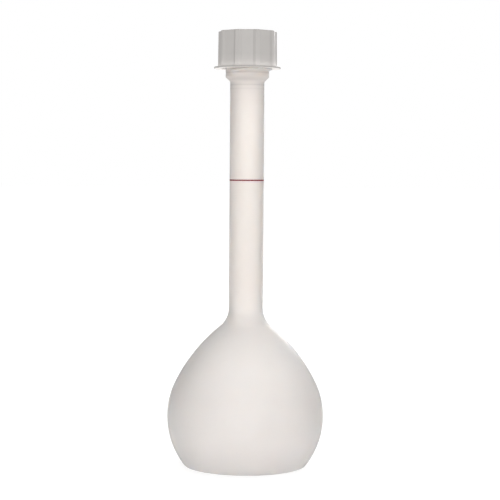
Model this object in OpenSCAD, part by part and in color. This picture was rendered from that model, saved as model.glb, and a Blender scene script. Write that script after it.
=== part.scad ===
// Plastic volumetric flask, 250 ml, with a graduation ring and a ribbed screw cap.
// Millimetres, +Z up. The origin is the centre of the base, on the surface it stands on.

/* [Bulb] */
// Radius of the round belly
bulb_r = 40.4; // [39.6:0.1:41.2]
// Height of the belly's centre over the table
belly_z = 25.4; // [23:0.05:27]
// Radius of the long shoulder arc that runs from the belly to the neck
shoulder_r = 87; // [75:1:95]
// Angle above the belly's equator where the shoulder arc takes over
shoulder_angle = 26.3; // [22:0.1:30]
// Radius of the hollow fillet where the shoulder turns up into the neck
root_fillet_r = 11.5; // [8:0.5:13]
// Wall of the bulb
bulb_wall = 1.35; // [1:0.05:1.6]

/* [Base] */
// Radius of the edge between the base and the belly
base_edge_r = 1.2; // [0.8:0.1:1.6]
// Inner radius of the flat ring that the flask stands on
stand_r = 26; // [24:0.5:27]
// How far the middle of the base is pushed up
push_up = 2.2; // [1.5:0.1:3]
// Thickness of the base
base_wall = 1.5; // [1.4:0.1:2]
// Length of the pinch-off seam across the middle of the base
seam_len = 26; // [20:1:32]

/* [Neck] */
// Outer radius of the neck
neck_r = 8.75; // [8.6:0.05:8.95]
// Wall of the neck
neck_wall = 1.4; // [1.3:0.05:1.5]
// Height of the graduation mark over the table
mark_z = 147.5; // [140:0.1:155]
// Height of the printed line
mark_w = 0.7; // [0.5:0.1:0.9]
// Thickness of the printed line
mark_t = 0.08; // [0.06:0.01:0.12]

/* [Mouth] */
// Height of the rim
mouth_z = 220.5; // [219.5:0.1:221.3]
// Radius of the bore at the mouth
mouth_bore_r = 8.5; // [8.2:0.1:8.8]
// Height where the mouth's bore begins
mouth_bore_z = 201.8; // [201.2:0.1:202.6]
// Outer radius of the collar, under the thread
collar_r = 11.15; // [11:0.05:11.3]
// Height of the collar's lower edge
collar_z = 200.3; // [199.6:0.1:201]

/* [Thread] */
// Rise of the right-hand thread in one turn
pitch = 3.5; // [3.4:0.05:3.6]
// Outer radius of the thread on the neck
thread_r = 12.6; // [12.4:0.05:12.7]
// Height of the thread's middle at the front
thread_front_z = 203.6; // [203.3:0.1:203.9]
// Turns of thread on the neck
neck_turns = 4; // [3:0.25:4.25]
// Turns of thread in the cap
cap_turns = 2.25; // [1.5:0.25:2.5]
// Gap between the cap's thread and the neck's
thread_gap = 0.35; // [0.3:0.05:0.4]

/* [Cap] */
// Radius over the ribs, at the foot of the cap
cap_r = 15.25; // [15.1:0.05:15.5]
// Draft of the ribs, in degrees, by which they lean in towards the top
cap_draft = 0.6; // [0:0.1:1]
// Number of grip ribs
ribs = 9; // [8:1:10]
// How far a rib stands out of the corner between two faces
rib_h = 0.85; // [0.6:0.05:1]
// Width of a rib's top
rib_top_w = 2.1; // [1.7:0.1:2.4]
// Width of a rib's foot
rib_foot_w = 4.3; // [3.8:0.1:4.6]
// Height of the cap's top over the table
cap_top_z = 223.7; // [223.2:0.1:224.2]
// Height of the cap's lower edge over the table
cap_low_z = 204.6; // [204.2:0.1:204.9]
// Rounding of the top edge
cap_edge_r = 0.5; // [0.3:0.1:0.8]
// Radius of the thin flange round the foot of the cap
flange_r = 17.1; // [16.5:0.1:17.4]
// Thickness of the flange
flange_t = 0.8; // [0.7:0.1:1]
// Radius of the hollow curve from the faces down to the flange
cove_r = 2.6; // [2:0.1:2.9]
// Radius of the bore, behind the thread
cap_bore_r = 12.9; // [12.8:0.05:13]

/* [Liner] */
// Radius of the sealing disc
liner_r = 12.45; // [12:0.05:12.5]
// Thickness of the sealing disc
liner_t = 1.4; // [1:0.1:1.5]

/* [Hidden] */
$fn = 96;
front = 270;            // direction of the front, round Z from +X
steps_per_turn = 36;    // stations of a thread in one turn
thread_foot_w = 2.1;    // width of the neck's thread at its foot
thread_top_w = 0.8;     // width of the neck's thread at its crest
cap_thread_top_w = 0.9; // width of the cap's thread at its crest
thread_fade = 35;       // degrees over which a thread rises from its wall at each end
sunk = 0.3;             // how far a thread's foot is sunk in its wall
thread_back = 50;       // degrees before the front at which the neck's thread begins
cap_thread_z = 207.0;   // lowest height that the cap's thread may start from
ceiling_z = mouth_z + liner_t;
flank = (thread_foot_w - thread_top_w) / 2 / (thread_r - collar_r);

// Points along an arc, round centre c, from angle a to angle b
function arc(c, r, a, b, n) = [for (i = [0:n]) let (t = a + (b - a) * i / n) c + r * [cos(t), sin(t)]];

// Centre of a rounded corner that stands on height z and rolls inside the belly's sphere
function corner_centre(z, r, sphere_r) =
    [sqrt(pow(sphere_r - r, 2) - pow(belly_z - z - r, 2)), z + r];

// Angle of a corner's centre, seen from the belly's centre
function corner_angle(c) = atan2(c[1] - belly_z, c[0]);

// Centre of the shoulder arc, on the line through the belly's centre and the point where they meet
shoulder_c = [0, belly_z] - (shoulder_r - bulb_r) * [cos(shoulder_angle), sin(shoulder_angle)];

// Centre of the fillet that rolls on a shoulder of radius r and meets a neck of radius n
function fillet_centre(r, n, f) =
    [n + f, shoulder_c[1] + sqrt(pow(r + f, 2) - pow(n + f - shoulder_c[0], 2))];

function fillet_angle(c) = atan2(c[1] - shoulder_c[1], c[0] - shoulder_c[0]);

// One skin of the bulb, from its lower corner up to the neck: the outer one, or one set in by t.
// floor_z is the height it stands on, edge its corner radius, n the radius of its neck.
function bulb_skin(t, floor_z, edge, n) =
    let (
        corner = corner_centre(floor_z, edge, bulb_r - t),
        fillet = fillet_centre(shoulder_r - t, n, root_fillet_r + t)
    )
    concat(
        arc(corner, edge, -90, corner_angle(corner), 5),
        arc([0, belly_z], bulb_r - t, corner_angle(corner), shoulder_angle, 17),
        arc(shoulder_c, shoulder_r - t, shoulder_angle, fillet_angle(fillet), 9),
        arc(fillet, root_fillet_r + t, 180 + fillet_angle(fillet), 180, 9)
    );

// The pushed-up base, from the axis out to the standing ring, at height z over its foot
function base_skin(z, n) =
    let (r = (pow(stand_r, 2) + pow(push_up, 2)) / 2 / push_up)
    [for (i = [0:n]) let (x = stand_r * i / n) [x, z + push_up - r + sqrt(r * r - x * x)]];

// The bore widens from the neck to the mouth in small steps
bore_steps = 4;
bore_step_z = 2.1;      // height from one step to the next
bore_step_slope = 1.2;  // rise of a step's slope over its width
function stepped_bore() =
    let (bore = neck_r - neck_wall, rise = (mouth_bore_r - bore) / bore_steps)
    [for (i = [0:bore_steps - 1], top = [0, 1])
        [bore + rise * (i + top),
         mouth_bore_z - bore_step_z * (bore_steps - 1 - i) - bore_step_slope * rise * (1 - top)]];

function reversed(list) = [for (i = [len(list) - 1:-1:0]) list[i]];

// A ridge that winds upwards round Z: from angle a0 and height z0, over `turns`, with its foot on a
// wall of radius foot_r and its crest at crest_r. The foot is sunk into the wall, and both ends fade.
module thread_ridge(a0, z0, turns, foot_r, crest_r, foot_w, crest_w) {
    side = crest_r > foot_r ? 1 : -1;
    last = round(turns * steps_per_turn);
    foot_slope = (foot_w - crest_w) / 2 / abs(crest_r - foot_r);
    sunk_w = foot_w + 2 * sunk * foot_slope;
    fade_steps = thread_fade * steps_per_turn / 360;
    function height(i) = min(1, i / fade_steps, (last - i) / fade_steps);
    function ring(i) =
        let (
            a = a0 + i * 360 / steps_per_turn,
            z = z0 + pitch * i / steps_per_turn,
            low = foot_r - side * sunk,
            top = foot_r - side * sunk / 2 + (crest_r - foot_r + side * sunk / 2) * height(i),
            top_w = sunk_w - 2 * abs(top - low) * foot_slope
        )
        [
            [low * cos(a), low * sin(a), z - sunk_w / 2],
            [top * cos(a), top * sin(a), z - top_w / 2],
            [top * cos(a), top * sin(a), z + top_w / 2],
            [low * cos(a), low * sin(a), z + sunk_w / 2]
        ];
    skin = [for (i = [0:last - 1], k = [0:3], half = [0, 1])
        let (a = 4 * i + k, b = 4 * i + (k + 1) % 4)
        half == 0 ? [a, b, b + 4] : [a, b + 4, a + 4]];
    tail = 4 * last;
    first_end = [[2, 1, 0], [3, 2, 0]];
    last_end = [[tail, tail + 1, tail + 2], [tail, tail + 2, tail + 3]];
    faces = concat(skin, first_end, last_end);
    polyhedron(
        points = [for (i = [0:last]) each ring(i)],
        faces = side > 0 ? faces : [for (f = faces) [f[0], f[2], f[1]]],
        convexity = 10
    );
}

// One blow-moulded piece: bulb, neck, threaded mouth and pushed-up base
module flask_body() {
    collar_edge = 0.5;
    rim_edge = 0.5;
    taper_z = collar_z - (collar_r - neck_r);
    taper_fillet = 1.6;
    fillet_h = taper_fillet * tan(22.5);
    outside = concat(
        bulb_skin(0, 0, base_edge_r, neck_r),
        arc([neck_r + taper_fillet, taper_z - fillet_h], taper_fillet, 180, 135, 4),
        arc([collar_r - collar_edge, collar_z + collar_edge * tan(22.5)], collar_edge, -45, 0, 3),
        arc([collar_r - rim_edge, mouth_z - rim_edge], rim_edge, 0, 90, 4)
    );
    inside = concat(
        bulb_skin(bulb_wall, base_wall, base_edge_r + 2, neck_r - neck_wall),
        stepped_bore(),
        arc([mouth_bore_r + rim_edge, mouth_z - rim_edge], rim_edge, 180, 90, 4)
    );
    color("WhiteSmoke", 0.7) {
        rotate_extrude()
            polygon(concat(
                base_skin(0, 10), outside,
                reversed(inside), reversed(base_skin(base_wall, 10))
            ));
        thread_ridge(
            front - thread_back, thread_front_z - pitch * thread_back / 360, neck_turns,
            collar_r, thread_r, thread_foot_w, thread_top_w
        );
        pinch_seam();
    }
}

// The seam that the mould's pinch leaves under the base, across its middle
module pinch_seam() {
    seam_w = 1;
    seam_h = 0.5;
    end_z = push_up * (1 - pow(seam_len / 2 / stand_r, 2));
    translate([-seam_len / 2, -seam_w / 2, end_z - seam_h])
        cube([seam_len, seam_w, seam_h + push_up / 2]);
}

// The printed line round the neck that marks the nominal volume
module graduation_ring() {
    color("crimson")
        translate([0, 0, mark_z - mark_w / 2])
            difference() {
                cylinder(r = neck_r + mark_t, h = mark_w);
                translate([0, 0, -1])
                    cylinder(r = neck_r, h = mark_w + 2);
            }
}

// Outline of the cap: flat faces between narrow ribs, which run out past cap_r
module cap_outline() {
    foot_r = cap_r - rib_h;
    slope = (rib_foot_w - rib_top_w) / 2 / rib_h;
    past = 0.2;
    polygon([for (i = [0:ribs - 1]) let (a = front + 180 / ribs + i * 360 / ribs)
        each [for (p = [
            [foot_r, -rib_foot_w / 2], [cap_r + past, past * slope - rib_top_w / 2],
            [cap_r + past, rib_top_w / 2 - past * slope], [foot_r, rib_foot_w / 2]
        ]) [p[0] * cos(a) - p[1] * sin(a), p[0] * sin(a) + p[1] * cos(a)]]]);
}

// Injection-moulded cap: ribbed skirt, thin flange at its foot and a thread inside
module screw_cap() {
    face_r = (cap_r - rib_h) * cos(180 / ribs) + rib_foot_w / 2 * sin(180 / ribs);
    top_r = cap_r - (cap_top_z - cap_low_z) * tan(cap_draft);
    flange_top_z = cap_low_z + flange_t;
    tip_r = 0.2;
    cove_x = min(face_r + cove_r - 0.1, flange_r - tip_r - 0.05);
    gate_r = 1.6;
    gate_h = 0.35;
    lead_in = 0.5;
    crest_r = collar_r + thread_gap;
    foot_w = cap_thread_top_w + 2 * (cap_bore_r - crest_r) * flank;
    turns_up = ceil((cap_thread_z - thread_front_z - pitch / 2) / pitch);
    color("White")
        union() {
            difference() {
                union() {
                    intersection() {
                        translate([0, 0, cap_low_z])
                            linear_extrude(height = cap_top_z - cap_low_z)
                                cap_outline();
                        rotate_extrude()
                            polygon(concat(
                                [[0, cap_low_z], [cap_r, cap_low_z]],
                                arc([top_r - cap_edge_r, cap_top_z - cap_edge_r], cap_edge_r, 0, 90, 5),
                                [[0, cap_top_z]]
                            ));
                    }
                    rotate_extrude()
                        polygon(concat(
                            [[cap_bore_r - 0.5, cap_low_z]],
                            arc([flange_r - tip_r, cap_low_z + tip_r], tip_r, -90, 0, 3),
                            arc([flange_r - tip_r, flange_top_z - tip_r], tip_r, 0, 90, 3),
                            arc([cove_x, flange_top_z + cove_r], cove_r, 270, 183, 7),
                            [[cap_bore_r - 0.5, flange_top_z + cove_r]]
                        ));
                }
                rotate_extrude()
                    polygon([
                        [0, cap_low_z - 1], [cap_bore_r + lead_in, cap_low_z - 1],
                        [cap_bore_r + lead_in, cap_low_z],
                        [cap_bore_r, cap_low_z + lead_in], [cap_bore_r, ceiling_z], [0, ceiling_z]
                    ]);
                translate([0, 0, cap_top_z - gate_h])
                    cylinder(r = gate_r, h = 1);
            }
            thread_ridge(
                front, thread_front_z + pitch / 2 + pitch * turns_up, cap_turns,
                cap_bore_r, crest_r, foot_w, cap_thread_top_w
            );
        }
}

// Soft disc that lies under the cap's top and seals on the rim
module cap_liner() {
    liner_edge = 0.2;
    color("Gainsboro")
        translate([0, 0, mouth_z])
            rotate_extrude()
                polygon([
                    [0, 0], [liner_r - liner_edge, 0], [liner_r, liner_edge],
                    [liner_r, liner_t - liner_edge], [liner_r - liner_edge, liner_t], [0, liner_t]
                ]);
}

flask_body();
graduation_ring();
screw_cap();
cap_liner();
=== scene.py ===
"""Looks of the plastic volumetric flask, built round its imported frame.

Pieces: the blow-moulded flask, the printed ring, the ribbed screw cap and its sealing disc.
Profiles are in millimetres, as (radius, height) points. Angles are in degrees round Z, from +X.
Meshes are in metres.
"""

import math

import bpy
import numpy as np
from mathutils import Matrix, Vector


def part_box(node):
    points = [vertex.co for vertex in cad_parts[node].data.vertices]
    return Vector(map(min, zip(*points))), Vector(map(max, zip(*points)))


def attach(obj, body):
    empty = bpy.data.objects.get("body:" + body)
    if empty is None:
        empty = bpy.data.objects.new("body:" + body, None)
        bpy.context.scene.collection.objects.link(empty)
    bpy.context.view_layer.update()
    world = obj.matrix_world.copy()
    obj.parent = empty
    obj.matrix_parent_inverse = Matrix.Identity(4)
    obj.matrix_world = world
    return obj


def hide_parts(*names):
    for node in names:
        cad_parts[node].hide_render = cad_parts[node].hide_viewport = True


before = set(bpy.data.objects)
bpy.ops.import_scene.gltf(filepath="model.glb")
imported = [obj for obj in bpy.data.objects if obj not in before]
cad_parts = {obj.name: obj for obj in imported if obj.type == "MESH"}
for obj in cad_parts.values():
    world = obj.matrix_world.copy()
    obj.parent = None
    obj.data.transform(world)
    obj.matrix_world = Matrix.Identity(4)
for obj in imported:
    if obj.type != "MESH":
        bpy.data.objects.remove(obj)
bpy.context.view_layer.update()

MM = 0.001


def box_mm(name):
    """Lowest and highest corners of a CAD node, in millimetres."""
    low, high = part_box(name)
    return low / MM, high / MM


# ---------------------------------------------------------------- sizes from the frame
flask_high = box_mm("flask_body")[1]
ring_low, ring_high = box_mm("graduation_ring")
cap_low, cap_high = box_mm("screw_cap")
liner_low, liner_high = box_mm("cap_liner")

BULB_R = flask_high.x
MOUTH_Z = flask_high.z
CAP_FOOT_Z = cap_low.z
CAP_TOP_Z = cap_high.z
FLANGE_R = cap_high.x
CEILING_Z = liner_high.z

# ---------------------------------------------------------------- the pieces' own sizes
# bulb: its ball's middle, the shoulder's bow, and the hollow where it runs into the neck
BELLY_Z = 25.4
SHOULDER_R = 87.0
SHOULDER_ANGLE = 26.3
ROOT_FILLET_R = 11.5
BULB_WALL = 1.35
BASE_WALL = 1.5
BASE_EDGE_R = 1.2
# base: the ring that it stands on, the push-up inside it, and the pinch seam across it
STAND_R = 26.0
PUSH_UP = 2.2
PINCH_LENGTH = 26.0
PINCH_WIDTH = 0.5
PINCH_H = 0.45

# neck, and the thickness of the ink on it
NECK_R = 8.75
NECK_WALL = 1.4
INK = ring_high.x - NECK_R

# collar and mouth
COLLAR_R = 11.15
COLLAR_Z = 200.3
MOUTH_BORE_R = 8.5
MOUTH_BORE_Z = 201.8
BORE_STEPS = 4
BORE_STEP_Z = 2.1

# threads: the neck's crosses the front at THREAD_FRONT_Z, and starts THREAD_LEAD before that
PITCH = 3.5
THREAD_R = 12.6
THREAD_FRONT_Z = 203.6
THREAD_LEAD = 50.0
THREAD_FOOT_W = 2.3
THREAD_TOP_W = 0.7
NECK_TURNS = 4
CAP_TURNS = 2.25
THREAD_FADE = 35.0
FRONT = 270.0

# mould marks: the parting line, the shallower thread beside it, and the unevenness of the wall
PARTING_H = 0.05
PARTING_WIDTH = 0.45
PARTING_GAP = 0.25
PARTING_GAP_WIDTH = 3.5
BULB_UNEVEN = 0.03
NECK_UNEVEN = 0.02

# cap: ribbed skirt, cove and flange, then the bore, its thread and the gate's dimple
CAP_R = 15.25
CAP_DRAFT = 0.6
RIBS = 9
RIB_H = 0.85
RIB_TOP_W = 2.1
RIB_FOOT_W = 4.3
RIB_CORNER = 0.15
CAP_EDGE_R = 0.5
CAP_SINK = 0.03
FLANGE_T = 0.8
FLANGE_TIP_R = 0.2
COVE_R = 2.6
CAP_BORE_R = 12.9
CAP_THREAD_R = 11.5
CAP_THREAD_Z = 208.85
CAP_LEAD_IN = 0.5
GATE_R = 1.6
GATE_DEPTH = 0.3


# ---------------------------------------------------------------- outlines
def arc(centre, radius, start, end, step):
    """Points along an arc, from one angle to the other in degrees, about step apart."""
    count = max(3, math.ceil(abs(math.radians(end - start)) * radius / step))
    turn = [math.radians(start + (end - start) * i / count) for i in range(count + 1)]
    return [(centre[0] + radius * math.cos(t), centre[1] + radius * math.sin(t)) for t in turn]


def dense(points, step):
    """The outline with its straight stretches divided into lengths of at most step."""
    out = [points[0]]
    for a, b in zip(points, points[1:]):
        length = math.dist(a, b)
        count = max(1, math.ceil(length / step))
        if length > 1e-6:
            out += [tuple(np.add(a, np.subtract(b, a) * i / count)) for i in range(1, count + 1)]
    return out


def bulb_skin(inset, floor_z, edge, neck, step):
    """One skin of the bulb, from its lower corner up to the neck, set in by inset."""
    ball = BULB_R - inset
    corner = (math.sqrt((ball - edge) ** 2 - (BELLY_Z - floor_z - edge) ** 2), floor_z + edge)
    corner_angle = math.degrees(math.atan2(corner[1] - BELLY_Z, corner[0]))
    lean = math.radians(SHOULDER_ANGLE)
    shoulder = (
        -(SHOULDER_R - BULB_R) * math.cos(lean),
        BELLY_Z - (SHOULDER_R - BULB_R) * math.sin(lean),
    )
    bow, hollow = SHOULDER_R - inset, ROOT_FILLET_R + inset
    across = neck + hollow - shoulder[0]
    fillet = (neck + hollow, shoulder[1] + math.sqrt((bow + hollow) ** 2 - across ** 2))
    meet = math.degrees(math.atan2(fillet[1] - shoulder[1], across))
    return (
        arc(corner, edge, -90, corner_angle, 0.3)
        + arc((0, BELLY_Z), ball, corner_angle, SHOULDER_ANGLE, step)[1:]
        + arc(shoulder, bow, SHOULDER_ANGLE, meet, step)[1:]
        + arc(fillet, hollow, 180 + meet, 180, step * 0.5)[1:]
    )


def dome(height, count):
    """The pushed-up base, from the axis out to the ring that the flask stands on."""
    radius = (STAND_R ** 2 + PUSH_UP ** 2) / 2 / PUSH_UP
    xs = [STAND_R * i / count for i in range(count + 1)]
    return [(x, height + PUSH_UP - radius + math.sqrt(radius ** 2 - x ** 2)) for x in xs]


def rounded(corners, cut, count=4):
    """A line through corners, with each inner one rounded off from cut before it to cut after."""
    out = [corners[0]]
    for before, at, after in zip(corners, corners[1:], corners[2:]):
        before, at, after = (np.array(p, float) for p in (before, at, after))
        a = at + (before - at) / np.linalg.norm(before - at) * cut
        b = at + (after - at) / np.linalg.norm(after - at) * cut
        for t in np.linspace(0, 1, count + 1):
            out.append(tuple((1 - t) ** 2 * a + 2 * t * (1 - t) * at + t ** 2 * b))
    return out + [corners[-1]]


def thread(theta, z, start, foot_z, turns, height):
    """How far a helical ridge stands out at each angle and height. Its two ends fade away."""
    along = (theta - start) % 360
    best = np.zeros(np.broadcast(theta, z).shape)
    for turn in range(math.ceil(turns)):
        u = along + 360 * turn
        off = np.abs(z - foot_z - PITCH * u / 360)
        side = np.clip((THREAD_FOOT_W / 2 - off) / ((THREAD_FOOT_W - THREAD_TOP_W) / 2), 0, 1)
        side = side * side * (3 - 2 * side)
        fade = np.clip(np.minimum(u, turns * 360 - u) / THREAD_FADE, 0, 1)
        best = np.maximum(best, height * side * np.sqrt(fade * (2 - fade)))
    return best


# ---------------------------------------------------------------- meshes
def turned(name, angles, rows):
    """A mesh of rows of points round Z, each row (radii, heights). A row of radius 0 is a pole."""
    theta = np.radians(angles)
    verts, starts = [], []
    for radii, heights in rows:
        starts.append(len(verts))
        if np.max(radii) < 1e-9:
            verts.append((0, 0, float(np.mean(heights)) * MM))
            continue
        radii = np.broadcast_to(radii, theta.shape)
        heights = np.broadcast_to(heights, theta.shape)
        ring = np.stack([radii * np.cos(theta), radii * np.sin(theta), heights], axis=1) * MM
        verts += [tuple(p) for p in ring]
    count, faces = len(angles), []
    sizes = [b - a for a, b in zip(starts, starts[1:] + [len(verts)])]
    for i in range(len(rows) - 1):
        a, b = starts[i], starts[i + 1]
        for j in range(count):
            k = (j + 1) % count
            if sizes[i] == 1:
                faces.append((a, b + k, b + j))
            elif sizes[i + 1] == 1:
                faces.append((a + j, a + k, b))
            else:
                faces.append((a + j, a + k, b + k, b + j))
    mesh = bpy.data.meshes.new(name)
    mesh.from_pydata(verts, [], faces)
    mesh.validate()
    mesh.shade_smooth()
    piece = bpy.data.objects.new(name, mesh)
    bpy.context.scene.collection.objects.link(piece)
    return piece


def settle(piece, material, body, node):
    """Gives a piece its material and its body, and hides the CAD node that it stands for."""
    piece.data.materials.append(material)
    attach(piece, body)
    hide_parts(node)


def flask_angles():
    """Angles round the flask, closer together beside the mould's two parting lines."""
    plain = [i * 360 / 168 for i in range(168)]
    near = [d * s + side for side in (0, 180) for d in (0.25, 0.5, 0.8, 1.3) for s in (-1, 1)]
    return np.array(sorted(set(plain + [a % 360 for a in near])))


def parting(theta, width):
    """1 on the lines down both sides where the halves of the mould meet, and 0 away from them."""
    off = np.abs((theta + 90) % 180 - 90)
    return np.exp(-((off / width) ** 2))


def uneven(theta, z, size):
    """The slight unevenness of a blown wall, from 0 down to -size, as three crossing waves."""
    t = np.radians(theta)
    wave = (
        np.sin(2 * t + z * 0.071 + 0.6)
        + 0.7 * np.sin(3 * t - z * 0.113 + 2.1)
        + 0.5 * np.sin(5 * t + z * 0.191 + 4.0)
    )
    return size * (wave / 2.2 - 1) / 2


def build_flask():
    """The blown flask: outside, rim, inside and pushed-up base, as one closed skin."""
    collar_edge = rim_edge = 0.5
    taper_fillet = 1.6
    neck_foot_z = 83.0
    taper_z = COLLAR_Z - (COLLAR_R - NECK_R)
    half_taper = math.tan(math.radians(45 / 2))
    fillet_z, edge_z = taper_z - taper_fillet * half_taper, COLLAR_Z + collar_edge * half_taper
    outside = (
        dense(bulb_skin(0, 0, BASE_EDGE_R, NECK_R, 1.3), 2.0)
        + dense(
            [(NECK_R, neck_foot_z)]
            + arc((NECK_R + taper_fillet, fillet_z), taper_fillet, 180, 135, 0.25)
            + arc((COLLAR_R - collar_edge, edge_z), collar_edge, -45, 0, 0.12),
            2.0,
        )
    )
    threaded = dense([(COLLAR_R, COLLAR_Z + 0.4), (COLLAR_R, MOUTH_Z - rim_edge)], 0.13)
    rim = (
        arc((COLLAR_R - rim_edge, MOUTH_Z - rim_edge), rim_edge, 0, 90, 0.1)
        + arc((MOUTH_BORE_R + rim_edge, MOUTH_Z - rim_edge), rim_edge, 90, 180, 0.1)
    )
    bore = NECK_R - NECK_WALL
    rise = (MOUTH_BORE_R - bore) / BORE_STEPS
    steps = []
    for i in reversed(range(BORE_STEPS)):
        z = MOUTH_BORE_Z - BORE_STEP_Z * (BORE_STEPS - 1 - i)
        steps += [(bore + rise * (i + 1), z + 0.1), (bore + rise * (i + 0.5), z - 0.17),
                  (bore + rise * i, z - 0.45)]
    inside = dense(
        [(MOUTH_BORE_R, MOUTH_Z - rim_edge)] + steps
        + bulb_skin(BULB_WALL, BASE_WALL, BASE_EDGE_R + 2, bore, 2.0)[::-1],
        3.0,
    )
    under = dome(0, 14)
    floor = dome(BASE_WALL, 12)[::-1]

    theta = flask_angles()
    rows = []
    line = parting(theta, PARTING_WIDTH)
    for r, z in dense(under + outside[:1], 1.5):
        across = np.abs(r * np.sin(np.radians(theta)))
        along = np.abs(r * np.cos(np.radians(theta)))
        ends = np.clip(PINCH_LENGTH / 2 + 0.5 - along, 0, 1)
        pinch = np.exp(-((across / PINCH_WIDTH) ** 2)) * ends
        rows.append((r, z - PINCH_H * (pinch if r > 0 else 1)))
    on_bulb_r = 12
    base_end_z, base_fade = 1.5, 3
    for r, z in outside[1:]:
        fade = min(1.0, max(0.0, (z - base_end_z) / base_fade))
        # the bulb stays inside its CAD radius, so the rest of it is lower than its parting line
        seam = (line - 1) * fade if r > on_bulb_r else line
        bumps = uneven(theta, z, BULB_UNEVEN if r > on_bulb_r else NECK_UNEVEN) * fade
        rows.append((r + PARTING_H * seam + bumps, z))
    start_z = THREAD_FRONT_Z - PITCH * THREAD_LEAD / 360
    gap = 1 - PARTING_GAP * parting(theta, PARTING_GAP_WIDTH)
    for r, z in threaded:
        ridge = thread(theta, z, FRONT - THREAD_LEAD, start_z, NECK_TURNS, THREAD_R - COLLAR_R)
        rows.append((r + ridge * gap, z))
    outer = 1 + (len(rows) - 1) * len(theta)
    piece = turned("flask_shell", theta, rows + rim[1:] + inside + floor)
    # the inside has a whiter tone than the outside, so its points are marked
    skin = piece.data.attributes.new("inner_skin", "FLOAT", "POINT")
    skin.data.foreach_set("value", [float(i >= outer) for i in range(len(piece.data.vertices))])
    return piece


def build_ring():
    """The printed line: a thin film of ink on the neck, rounded off at its edges."""
    angles = np.arange(0, 360, 2.0)
    t = np.radians(angles)
    sink, margin, bevel_r, bevel_z = 0.02, 0.015, 0.03, 0.05
    ragged = 0.012 * (np.sin(23 * t) + np.sin(41 * t + 1.3) + np.sin(9 * t + 0.4)) / 3
    foot, top = NECK_R - sink, NECK_R + INK
    lower, upper = ring_low.z + margin + ragged, ring_high.z - margin + ragged
    rows = [
        (foot, lower), (top - bevel_r, lower), (top, lower + bevel_z),
        (top, upper - bevel_z), (top - bevel_r, upper), (foot, upper), (foot, lower),
    ]
    return turned("mark_ring", angles, rows)


def cap_plan():
    """The cap's outline at its foot.

    Returns the angles round a turn, the radius at each, whether each is on the flank of a rib that
    gets painted shade (the left flank seen from the front), and the least radius of the faces
    between the ribs.
    """
    half = 180 / RIBS
    foot_r = CAP_R - RIB_H
    face_r = foot_r * math.cos(math.radians(half)) + RIB_FOOT_W / 2 * math.sin(math.radians(half))
    mid = (face_r * math.cos(math.radians(half)), face_r * math.sin(math.radians(half)))
    corners = [(CAP_R, 0), (CAP_R, RIB_TOP_W / 2), (foot_r, RIB_FOOT_W / 2), mid]
    line = np.array(rounded(corners, RIB_CORNER))
    turn = np.degrees(np.arctan2(line[:, 1], line[:, 0]))
    on_crest = [0.9, 1.8]
    on_face = [half * (1 - (i / 6) ** 1.3 * 0.66) for i in range(7)]
    samples = np.array(sorted({round(a, 3) for a in [*turn, *on_crest, *on_face]}))
    # the outline is straight between its corners, so the radii are read off many points along it
    fine = np.concatenate(
        [np.linspace(a, b, 12, endpoint=False) for a, b in zip(line, line[1:])] + [line[-1:]]
    )
    fine_turn = np.degrees(np.arctan2(fine[:, 1], fine[:, 0]))
    fine_r = np.hypot(fine[:, 0], fine[:, 1])
    one = np.concatenate([-samples[:0:-1], samples[:-1]])
    angles = np.concatenate([FRONT + half + 360 / RIBS * i + one for i in range(RIBS)])
    radii = np.tile(np.interp(np.abs(one), fine_turn, fine_r), RIBS)
    crest_end = math.degrees(math.atan2(RIB_TOP_W / 2, CAP_R))
    flank_end = math.degrees(math.atan2(RIB_FOOT_W / 2, foot_r))
    # painted shade: the left flank of each rib, seen from the front, is marked to be painted
    # darker
    rib_shade = np.tile((one < -crest_end - 0.3) & (one > -flank_end - 0.4), RIBS)
    order = np.argsort(angles % 360)
    return (angles % 360)[order], radii[order], rib_shade[order], face_r


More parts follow.
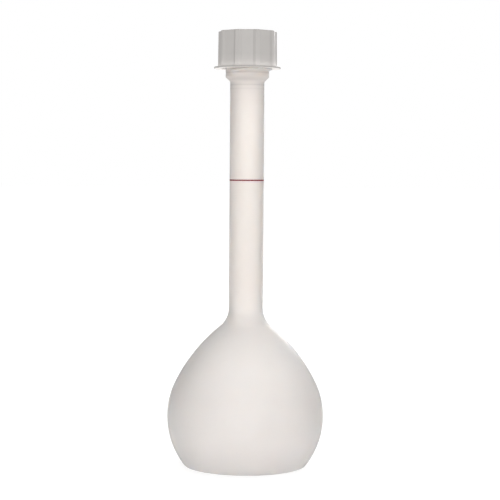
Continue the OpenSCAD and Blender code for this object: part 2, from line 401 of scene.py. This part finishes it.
def build_cap():
    """The moulded cap: top, ribbed skirt, cove, flange, and a bore with its thread."""
    theta, plan, rib_shade, face_r = cap_plan()
    slope = math.tan(math.radians(CAP_DRAFT))
    flange_top = CAP_FOOT_Z + FLANGE_T
    top_plan = plan - (CAP_TOP_Z - CAP_FOOT_Z) * slope
    cove_centre = (face_r + COVE_R - 0.1, flange_top + COVE_R)

    # the top is a hair lower inside its edge, with the gate's dimple in its middle
    dimple_z = CAP_TOP_Z - GATE_DEPTH
    rows = [(0, dimple_z), (GATE_R * 0.6, dimple_z), (GATE_R - 0.2, dimple_z + 0.03),
            (GATE_R, CAP_TOP_Z - 0.08), (GATE_R + 0.15, CAP_TOP_Z - CAP_SINK)]
    round_r = 9.0
    rows += [(r, CAP_TOP_Z - CAP_SINK) for r in np.linspace(GATE_R + 0.8, round_r, 6)]
    for t in (0.3, 0.6, 0.85, 0.96):
        reach = top_plan - CAP_EDGE_R - round_r
        rows.append((round_r + reach * t, CAP_TOP_Z - CAP_SINK * (1 - t)))
    top = len(rows)
    for a in np.linspace(90, 0, 9):
        c, s = math.cos(math.radians(a)), math.sin(math.radians(a))
        rows.append((top_plan - CAP_EDGE_R * (1 - c), CAP_TOP_Z - CAP_EDGE_R * (1 - s)))
    # the skirt goes over to the cove with a soft blend, whichever of the two is further out
    blend = 0.12
    cove_turn = np.radians(np.linspace(184, 270, 18))
    side = np.concatenate([
        np.linspace(CAP_TOP_Z - CAP_EDGE_R, cove_centre[1], 11)[1:],
        cove_centre[1] + COVE_R * np.sin(cove_turn),
    ])
    for z in side:
        wall = plan - (z - CAP_FOOT_Z) * slope
        reach = max(0.0, COVE_R ** 2 - (z - cove_centre[1]) ** 2)
        cove = cove_centre[0] - math.sqrt(reach) if z < cove_centre[1] else face_r - 1
        rows.append(((wall + cove + np.sqrt((wall - cove) ** 2 + blend ** 2)) / 2, z))
    skirt = len(rows)
    tip_r = FLANGE_R - FLANGE_TIP_R
    rows += arc((tip_r, flange_top - FLANGE_TIP_R), FLANGE_TIP_R, 90, 0, 0.1)
    rows += arc((tip_r, CAP_FOOT_Z + FLANGE_TIP_R), FLANGE_TIP_R, 0, -90, 0.1)
    rows += [(r, CAP_FOOT_Z) for r in np.linspace(tip_r, CAP_BORE_R + CAP_LEAD_IN, 5)[1:]]
    rows += [(CAP_BORE_R + CAP_LEAD_IN * 0.6, CAP_FOOT_Z + 0.15),
             (CAP_BORE_R + 0.1, CAP_FOOT_Z + CAP_LEAD_IN)]
    for z in np.arange(CAP_FOOT_Z + CAP_LEAD_IN + 0.2, CEILING_Z - 0.6, 0.16):
        ridge = thread(theta, z, FRONT, CAP_THREAD_Z, CAP_TURNS, CAP_BORE_R - CAP_THREAD_R)
        rows.append((CAP_BORE_R - ridge, z))
    corner = 0.4
    rows += arc((CAP_BORE_R - corner, CEILING_Z - corner), corner, 0, 90, 0.12)
    rows += [(r, CEILING_Z) for r in np.linspace(CAP_BORE_R - corner, 0, 8)[1:]]
    piece = turned("ribbed_cap", theta, rows)
    # the ribs' flanks that get painted shade are marked, from the top's edge down to the flange
    marks = np.zeros(len(piece.data.vertices))
    first, last = (1 + (row - 1) * len(theta) for row in (top, skirt))
    marks[first:last] = np.tile(rib_shade, skirt - top)
    piece.data.attributes.new("rib_shade", "FLOAT", "POINT").data.foreach_set("value", marks)
    return piece


def build_liner():
    """The sealing disc, a little pressed in where the rim bears on it."""
    edge, press = 0.25, 0.12
    low, high, radius = liner_low.z, liner_high.z, liner_high.x
    under = [
        (0, low), (3, low), (6, low), (MOUTH_BORE_R - 0.4, low),
        (MOUTH_BORE_R, low + press * 0.5), (MOUTH_BORE_R + 0.4, low + press),
        (COLLAR_R - 0.5, low + press), (COLLAR_R - 0.1, low + press * 0.5), (COLLAR_R + 0.3, low),
    ]
    profile = (
        under
        + arc((radius - edge, low + edge), edge, -90, 0, 0.1)
        + arc((radius - edge, high - edge), edge, 0, 90, 0.1)
        + [(8, high), (4, high), (0, high)]
    )
    return turned("sealing_disc", np.arange(0, 360, 3.0), profile)


# ---------------------------------------------------------------- materials
# flask: tones of the milky wall, factors on them by height (painted light low on the bulb and on
# the shoulder), roughness and clearness
MILK_A = (0.78, 0.754, 0.737)
MILK_B = (0.8, 0.772, 0.753)
INNER_MILK = (1.0, 0.98, 0.96)
LOW_PAINTED_LIGHT = (1.06, 1.055, 1.055)
SHOULDER_PAINTED_LIGHT = (1.07, 1.07, 1.07)
NECK_TINT = (1.005, 0.988, 0.97)
TOP_TINT = (0.96, 0.94, 0.925)
FLASK_ROUGH = 0.5
FLASK_CLEAR = 0.8
COLLAR_CLEAR = 0.55
# cap: the skirt's tone, painted light on its foot and flange, and factors of painted shade for the
# rib's flank and the rim
CAP_TONE = 0.412
FOOT_PAINTED_LIGHT = 0.62
FLANGE_PAINTED_LIGHT = 0.75
RIB_SHADE_TONE = 0.9
RIM_SHADE_TONE = 0.47


def new_material(name):
    """A material with a Principled shader. Returns it, its tree and the shader."""
    material = bpy.data.materials.new(name)
    material.use_nodes = True
    tree = material.node_tree
    return material, tree, tree.nodes["Principled BSDF"]


def texture(tree, kind, scale, stretch=(1, 1, 1), **settings):
    """A procedural texture in the piece's own space, in metres, and its first output."""
    place = tree.nodes.new("ShaderNodeTexCoord")
    mapping = tree.nodes.new("ShaderNodeMapping")
    mapping.inputs["Scale"].default_value = stretch
    pattern = tree.nodes.new(kind)
    pattern.inputs["Scale"].default_value = scale
    for key, value in settings.items():
        pattern.inputs[key].default_value = value
    tree.links.new(place.outputs["Object"], mapping.inputs["Vector"])
    tree.links.new(mapping.outputs["Vector"], pattern.inputs["Vector"])
    return pattern.outputs[0]


def colour_ramp(tree, value, stops):
    """A ramp over a value: stops of (position, grey or colour). Returns its colour."""
    node = tree.nodes.new("ShaderNodeValToRGB")
    marks = node.color_ramp.elements
    while len(marks) < len(stops):
        marks.new(0.5)
    for mark, (position, colour) in zip(marks, stops):
        mark.position = position
        mark.color = (*colour, 1) if isinstance(colour, tuple) else (colour, colour, colour, 1)
    tree.links.new(value, node.inputs["Fac"])
    return node.outputs["Color"]


def by_place(tree, which, low, high, stops):
    """A ramp over the height or the radius, from low to high: stops of (mm, grey or colour)."""
    place = tree.nodes.new("ShaderNodeTexCoord")
    along = tree.nodes.new("ShaderNodeMapRange")
    along.inputs["From Min"].default_value = low * MM
    along.inputs["From Max"].default_value = high * MM
    if which == "height":
        axes = tree.nodes.new("ShaderNodeSeparateXYZ")
        tree.links.new(place.outputs["Object"], axes.inputs["Vector"])
        tree.links.new(axes.outputs["Z"], along.inputs["Value"])
    else:
        flat, size = (tree.nodes.new("ShaderNodeVectorMath") for _ in range(2))
        flat.operation, size.operation = "MULTIPLY", "LENGTH"
        flat.inputs[1].default_value = (1, 1, 0)
        tree.links.new(place.outputs["Object"], flat.inputs[0])
        tree.links.new(flat.outputs["Vector"], size.inputs[0])
        tree.links.new(size.outputs["Value"], along.inputs["Value"])
    marks = [((mm - low) / (high - low), colour) for mm, colour in stops]
    return colour_ramp(tree, along.outputs["Result"], marks)


def product(tree, a, b):
    """Two colours multiplied."""
    node = tree.nodes.new("ShaderNodeVectorMath")
    node.operation = "MULTIPLY"
    tree.links.new(a, node.inputs[0])
    tree.links.new(b, node.inputs[1])
    return node.outputs["Vector"]


def spread(tree, value, low, high):
    """A value from 0 to 1 spread over a range of numbers."""
    node = tree.nodes.new("ShaderNodeMapRange")
    node.inputs["To Min"].default_value, node.inputs["To Max"].default_value = low, high
    tree.links.new(value, node.inputs["Value"])
    return node.outputs["Result"]


def bump(tree, shader, heights, strength):
    """Bump from several textures, each (output, distance in metres), on the shader's normal."""
    last = None
    for height, distance in heights:
        node = tree.nodes.new("ShaderNodeBump")
        node.inputs["Strength"].default_value = strength
        node.inputs["Distance"].default_value = distance
        tree.links.new(height, node.inputs["Height"])
        if last is not None:
            tree.links.new(last, node.inputs["Normal"])
        last = node.outputs["Normal"]
    tree.links.new(last, shader.inputs["Normal"])


def milky_plastic():
    """Natural polypropylene: milky and faintly warm, with clouds in its wall and a mould grain."""
    material, tree, shader = new_material("milky_polypropylene")
    clouds = texture(tree, "ShaderNodeTexNoise", 55, (1, 1, 0.45), Detail=3.0, Roughness=0.55)
    grain = texture(tree, "ShaderNodeTexNoise", 2600, Detail=2.0)
    flow = texture(tree, "ShaderNodeTexNoise", 420, (1, 1, 0.03), Detail=2.0)
    # painted light: the bulb is painted lighter low down and on the shoulder, and the neck is a
    # little pinker than the bulb
    tints_and_painted_light = by_place(tree, "height", 0, 200, [
        (0, LOW_PAINTED_LIGHT), (14, LOW_PAINTED_LIGHT), (24, (1, 1, 1)), (38, (1, 1, 1)), (52, SHOULDER_PAINTED_LIGHT),
        (70, SHOULDER_PAINTED_LIGHT), (95, NECK_TINT), (170, NECK_TINT), (189, TOP_TINT)])
    # painted light and shade: faint light and dark bands where the collar's inner steps show
    # through the wall, and lighter at the neck's top under the cap
    painted_bands = by_place(tree, "height", 192, 205, [
        (193.6, 1.0), (194.2, 0.9), (194.8, 1.0), (195.6, 1.0), (196.2, 0.8), (196.8, 1.0),
        (197.5, 1.06), (198.2, 1.02), (198.8, 0.9), (199.6, 0.95), (200.4, 1.0), (201.8, 1.06),
        (202.4, 0.86), (203.0, 1.08), (204.5, 1.14)])
    milk = colour_ramp(tree, clouds, [(0.3, MILK_A), (0.7, MILK_B)])
    outer = product(tree, milk, product(tree, tints_and_painted_light, painted_bands))
    skin = tree.nodes.new("ShaderNodeAttribute")
    skin.attribute_name = "inner_skin"
    both = tree.nodes.new("ShaderNodeMix")
    both.data_type = "RGBA"
    # sockets 0, 6 and 7 of a Mix node are the factor and its two colours, and output 2 is a colour
    tree.links.new(skin.outputs["Fac"], both.inputs[0])
    tree.links.new(outer, both.inputs[6])
    both.inputs[7].default_value = (*INNER_MILK, 1)
    tree.links.new(both.outputs[2], shader.inputs["Base Color"])
    rough = spread(tree, flow, FLASK_ROUGH - 0.05, FLASK_ROUGH + 0.05)
    tree.links.new(rough, shader.inputs["Roughness"])
    shader.inputs["IOR"].default_value = 1.49
    shader.inputs["Subsurface Weight"].default_value = 1.0
    shader.inputs["Subsurface Radius"].default_value = (1.0, 0.9, 0.8)
    shader.inputs["Subsurface Scale"].default_value = 0.003
    clear = by_place(tree, "height", 60, 215, [(195, FLASK_CLEAR), (199, COLLAR_CLEAR)])
    tree.links.new(clear, shader.inputs["Transmission Weight"])
    bump(tree, shader, [(grain, 0.00002), (flow, 0.00004)], 0.5)
    return material


def ring_ink():
    """Dark red printing ink, a little thin in places."""
    material, tree, shader = new_material("red_ink")
    worn = texture(tree, "ShaderNodeTexNoise", 900, Detail=3.0)
    ink = colour_ramp(tree, worn, [(0.35, (0.16, 0.0035, 0.01)), (0.7, (0.24, 0.008, 0.018))])
    tree.links.new(ink, shader.inputs["Base Color"])
    shader.inputs["Roughness"].default_value = 0.55
    shader.inputs["Specular IOR Level"].default_value = 0.15
    bump(tree, shader, [(worn, 0.00002)], 0.5)
    return material


def cap_plastic():
    """White moulded polypropylene: satin, with a fine texture and faint handling marks."""
    material, tree, shader = new_material("white_cap_plastic")
    grain = texture(tree, "ShaderNodeTexNoise", 3000, Detail=2.0)
    soft = texture(tree, "ShaderNodeTexNoise", 120, Detail=3.0)
    scuffs = texture(tree, "ShaderNodeTexNoise", 700, (1, 1, 0.15), Detail=4.0)
    # painted light: the flange and the skirt's foot are painted paler than the skirt, and the
    # skirt is painted lighter towards its foot
    painted_glow = by_place(tree, "height", CAP_FOOT_Z, CAP_TOP_Z, [
        (204.6, FLANGE_PAINTED_LIGHT), (205.35, FLANGE_PAINTED_LIGHT), (205.45, FOOT_PAINTED_LIGHT), (206.4, FOOT_PAINTED_LIGHT),
        (207.4, 1.3 * CAP_TONE), (208.6, 1.12 * CAP_TONE), (211.5, CAP_TONE)])
    # painted shade: the flange's rim, outward of 16.7 to 16.9 mm, is painted darker
    rim = by_place(tree, "radius", 0, FLANGE_R, [(16.7, 1.0), (16.9, RIM_SHADE_TONE)])
    # painted shade: the marked flank of each rib is painted darker
    rib_shade = tree.nodes.new("ShaderNodeAttribute")
    rib_shade.attribute_name = "rib_shade"
    shaded_flank = spread(tree, rib_shade.outputs["Fac"], 1.0, RIB_SHADE_TONE)
    white = colour_ramp(tree, soft, [(0.3, (0.96, 0.918, 0.883)), (0.7, (1.0, 0.957, 0.92))])
    tone = product(tree, white, product(tree, product(tree, painted_glow, rim), shaded_flank))
    tree.links.new(tone, shader.inputs["Base Color"])
    tree.links.new(spread(tree, scuffs, 0.5, 0.62), shader.inputs["Roughness"])
    shader.inputs["IOR"].default_value = 1.49
    bump(tree, shader, [(grain, 0.00002)], 0.4)
    return material


def liner_foam():
    """White foamed polyethylene, matt, with fine cells."""
    material, tree, shader = new_material("liner_foam")
    cells = texture(tree, "ShaderNodeTexVoronoi", 2500)
    foam = colour_ramp(tree, cells, [(0.0, (0.78, 0.78, 0.76)), (0.8, (0.86, 0.86, 0.84))])
    tree.links.new(foam, shader.inputs["Base Color"])
    shader.inputs["Roughness"].default_value = 0.8
    bump(tree, shader, [(cells, 0.00006)], 0.6)
    return material


# ---------------------------------------------------------------- stage, light and camera
SIDE_LIGHT = 0.2
SKY_LIGHT = 1.15
FRONT_BOX = 6.2
BACK_BOX = 2.0
RIM_BOX = 2.2
EDGE_BOX = 5.0
FLOOR_SEEN = 0.75
FLOOR_GLOW = 1.0


def build_stage():
    """A plain pale floor that runs out past every view. It lights the object from below."""
    half, drop = 12.0, 0.0001
    mesh = bpy.data.meshes.new("floor")
    corners = [(-half, -half, 0), (half, -half, 0), (half, half, 0), (-half, half, 0)]
    mesh.from_pydata(corners, [], [(0, 1, 2, 3)])
    floor = bpy.data.objects.new("floor", mesh)
    floor.location.z = -drop
    bpy.context.scene.collection.objects.link(floor)
    material, tree, shader = new_material("floor_white")
    shader.inputs["Base Color"].default_value = (0.3, 0.3, 0.3, 1)
    shader.inputs["Roughness"].default_value = 0.9
    shader.inputs["Specular IOR Level"].default_value = 0.0
    shader.inputs["Emission Color"].default_value = (1, 1, 1, 1)
    path = tree.nodes.new("ShaderNodeLightPath")
    tree.links.new(
        spread(tree, path.outputs["Is Camera Ray"], FLOOR_GLOW, FLOOR_SEEN),
        shader.inputs["Emission Strength"],
    )
    mesh.materials.append(material)


def softbox(name, place, target, width, height, power):
    """A rectangular area light that the camera doesn't see."""
    data = bpy.data.lights.new(name, "AREA")
    data.shape, data.size, data.size_y, data.energy = "RECTANGLE", width, height, power
    light = bpy.data.objects.new(name, data)
    light.location = place
    light.rotation_euler = (Vector(target) - Vector(place)).to_track_quat("-Z", "Y").to_euler()
    light.visible_camera = False
    bpy.context.scene.collection.objects.link(light)


def build_light():
    """A surround that lights more from above than from the sides, and four softboxes.

    The camera sees the surround as plain white, and so does what shines through the wall.
    """
    world = bpy.data.worlds.new("surround")
    world.use_nodes = True
    bpy.context.scene.world = world
    tree = world.node_tree
    background = tree.nodes["Background"]
    background.inputs["Color"].default_value = (1, 1, 1, 1)
    place = tree.nodes.new("ShaderNodeTexCoord")
    axes = tree.nodes.new("ShaderNodeSeparateXYZ")
    around = tree.nodes.new("ShaderNodeMapRange")
    around.interpolation_type = "SMOOTHSTEP"
    around.inputs["From Min"].default_value = 0.1
    around.inputs["From Max"].default_value = 0.8
    around.inputs["To Min"].default_value = SIDE_LIGHT
    around.inputs["To Max"].default_value = SKY_LIGHT
    tree.links.new(place.outputs["Generated"], axes.inputs["Vector"])
    tree.links.new(axes.outputs["Z"], around.inputs["Value"])
    path = tree.nodes.new("ShaderNodeLightPath")
    direct = tree.nodes.new("ShaderNodeMath")
    direct.operation = "MAXIMUM"
    tree.links.new(path.outputs["Is Camera Ray"], direct.inputs[0])
    tree.links.new(path.outputs["Is Transmission Ray"], direct.inputs[1])
    seen = tree.nodes.new("ShaderNodeMix")
    seen.inputs["B"].default_value = 1.0
    tree.links.new(direct.outputs["Value"], seen.inputs["Factor"])
    tree.links.new(around.outputs["Result"], seen.inputs["A"])
    tree.links.new(seen.outputs["Result"], background.inputs["Strength"])
    middle = (0, 0, 0.11)
    softbox("front_box", (0.05, -1.4, 0.35), middle, 0.5, 0.8, FRONT_BOX)
    softbox("back_box", (0.0, 1.0, 0.9), middle, 0.5, 0.8, BACK_BOX)
    softbox("rim_box", (0.9, 0.5, 0.85), (0, 0, 0.15), 0.25, 0.5, RIM_BOX)
    softbox("edge_box", (0.4, 1.15, 0.5), (0, 0, 0.1), 0.3, 0.4, EDGE_BOX)


def build_camera():
    """The photograph's view: nearly level, from 0.8 m, with a slight roll."""
    data = bpy.data.cameras.new("camera")
    data.lens, data.sensor_width = 111.7, 36.0
    data.clip_start, data.clip_end = 0.05, 20
    camera = bpy.data.objects.new("camera", data)
    place = Vector((0.00195, -0.80, 0.153))
    down, roll = math.radians(2.97), math.radians(0.40)
    camera.matrix_world = (
        Matrix.Translation(place)
        @ Matrix.Rotation(math.radians(90) - down, 4, "X")
        @ Matrix.Rotation(roll, 4, "Z")
    )
    bpy.context.scene.collection.objects.link(camera)
    bpy.context.scene.camera = camera


build_camera()
build_stage()
build_light()
settle(build_flask(), milky_plastic(), "flask", "flask_body")
settle(build_ring(), ring_ink(), "flask", "graduation_ring")
settle(build_cap(), cap_plastic(), "cap", "screw_cap")
settle(build_liner(), liner_foam(), "liner", "cap_liner")
bpy.context.scene.view_settings.view_transform = "Standard"
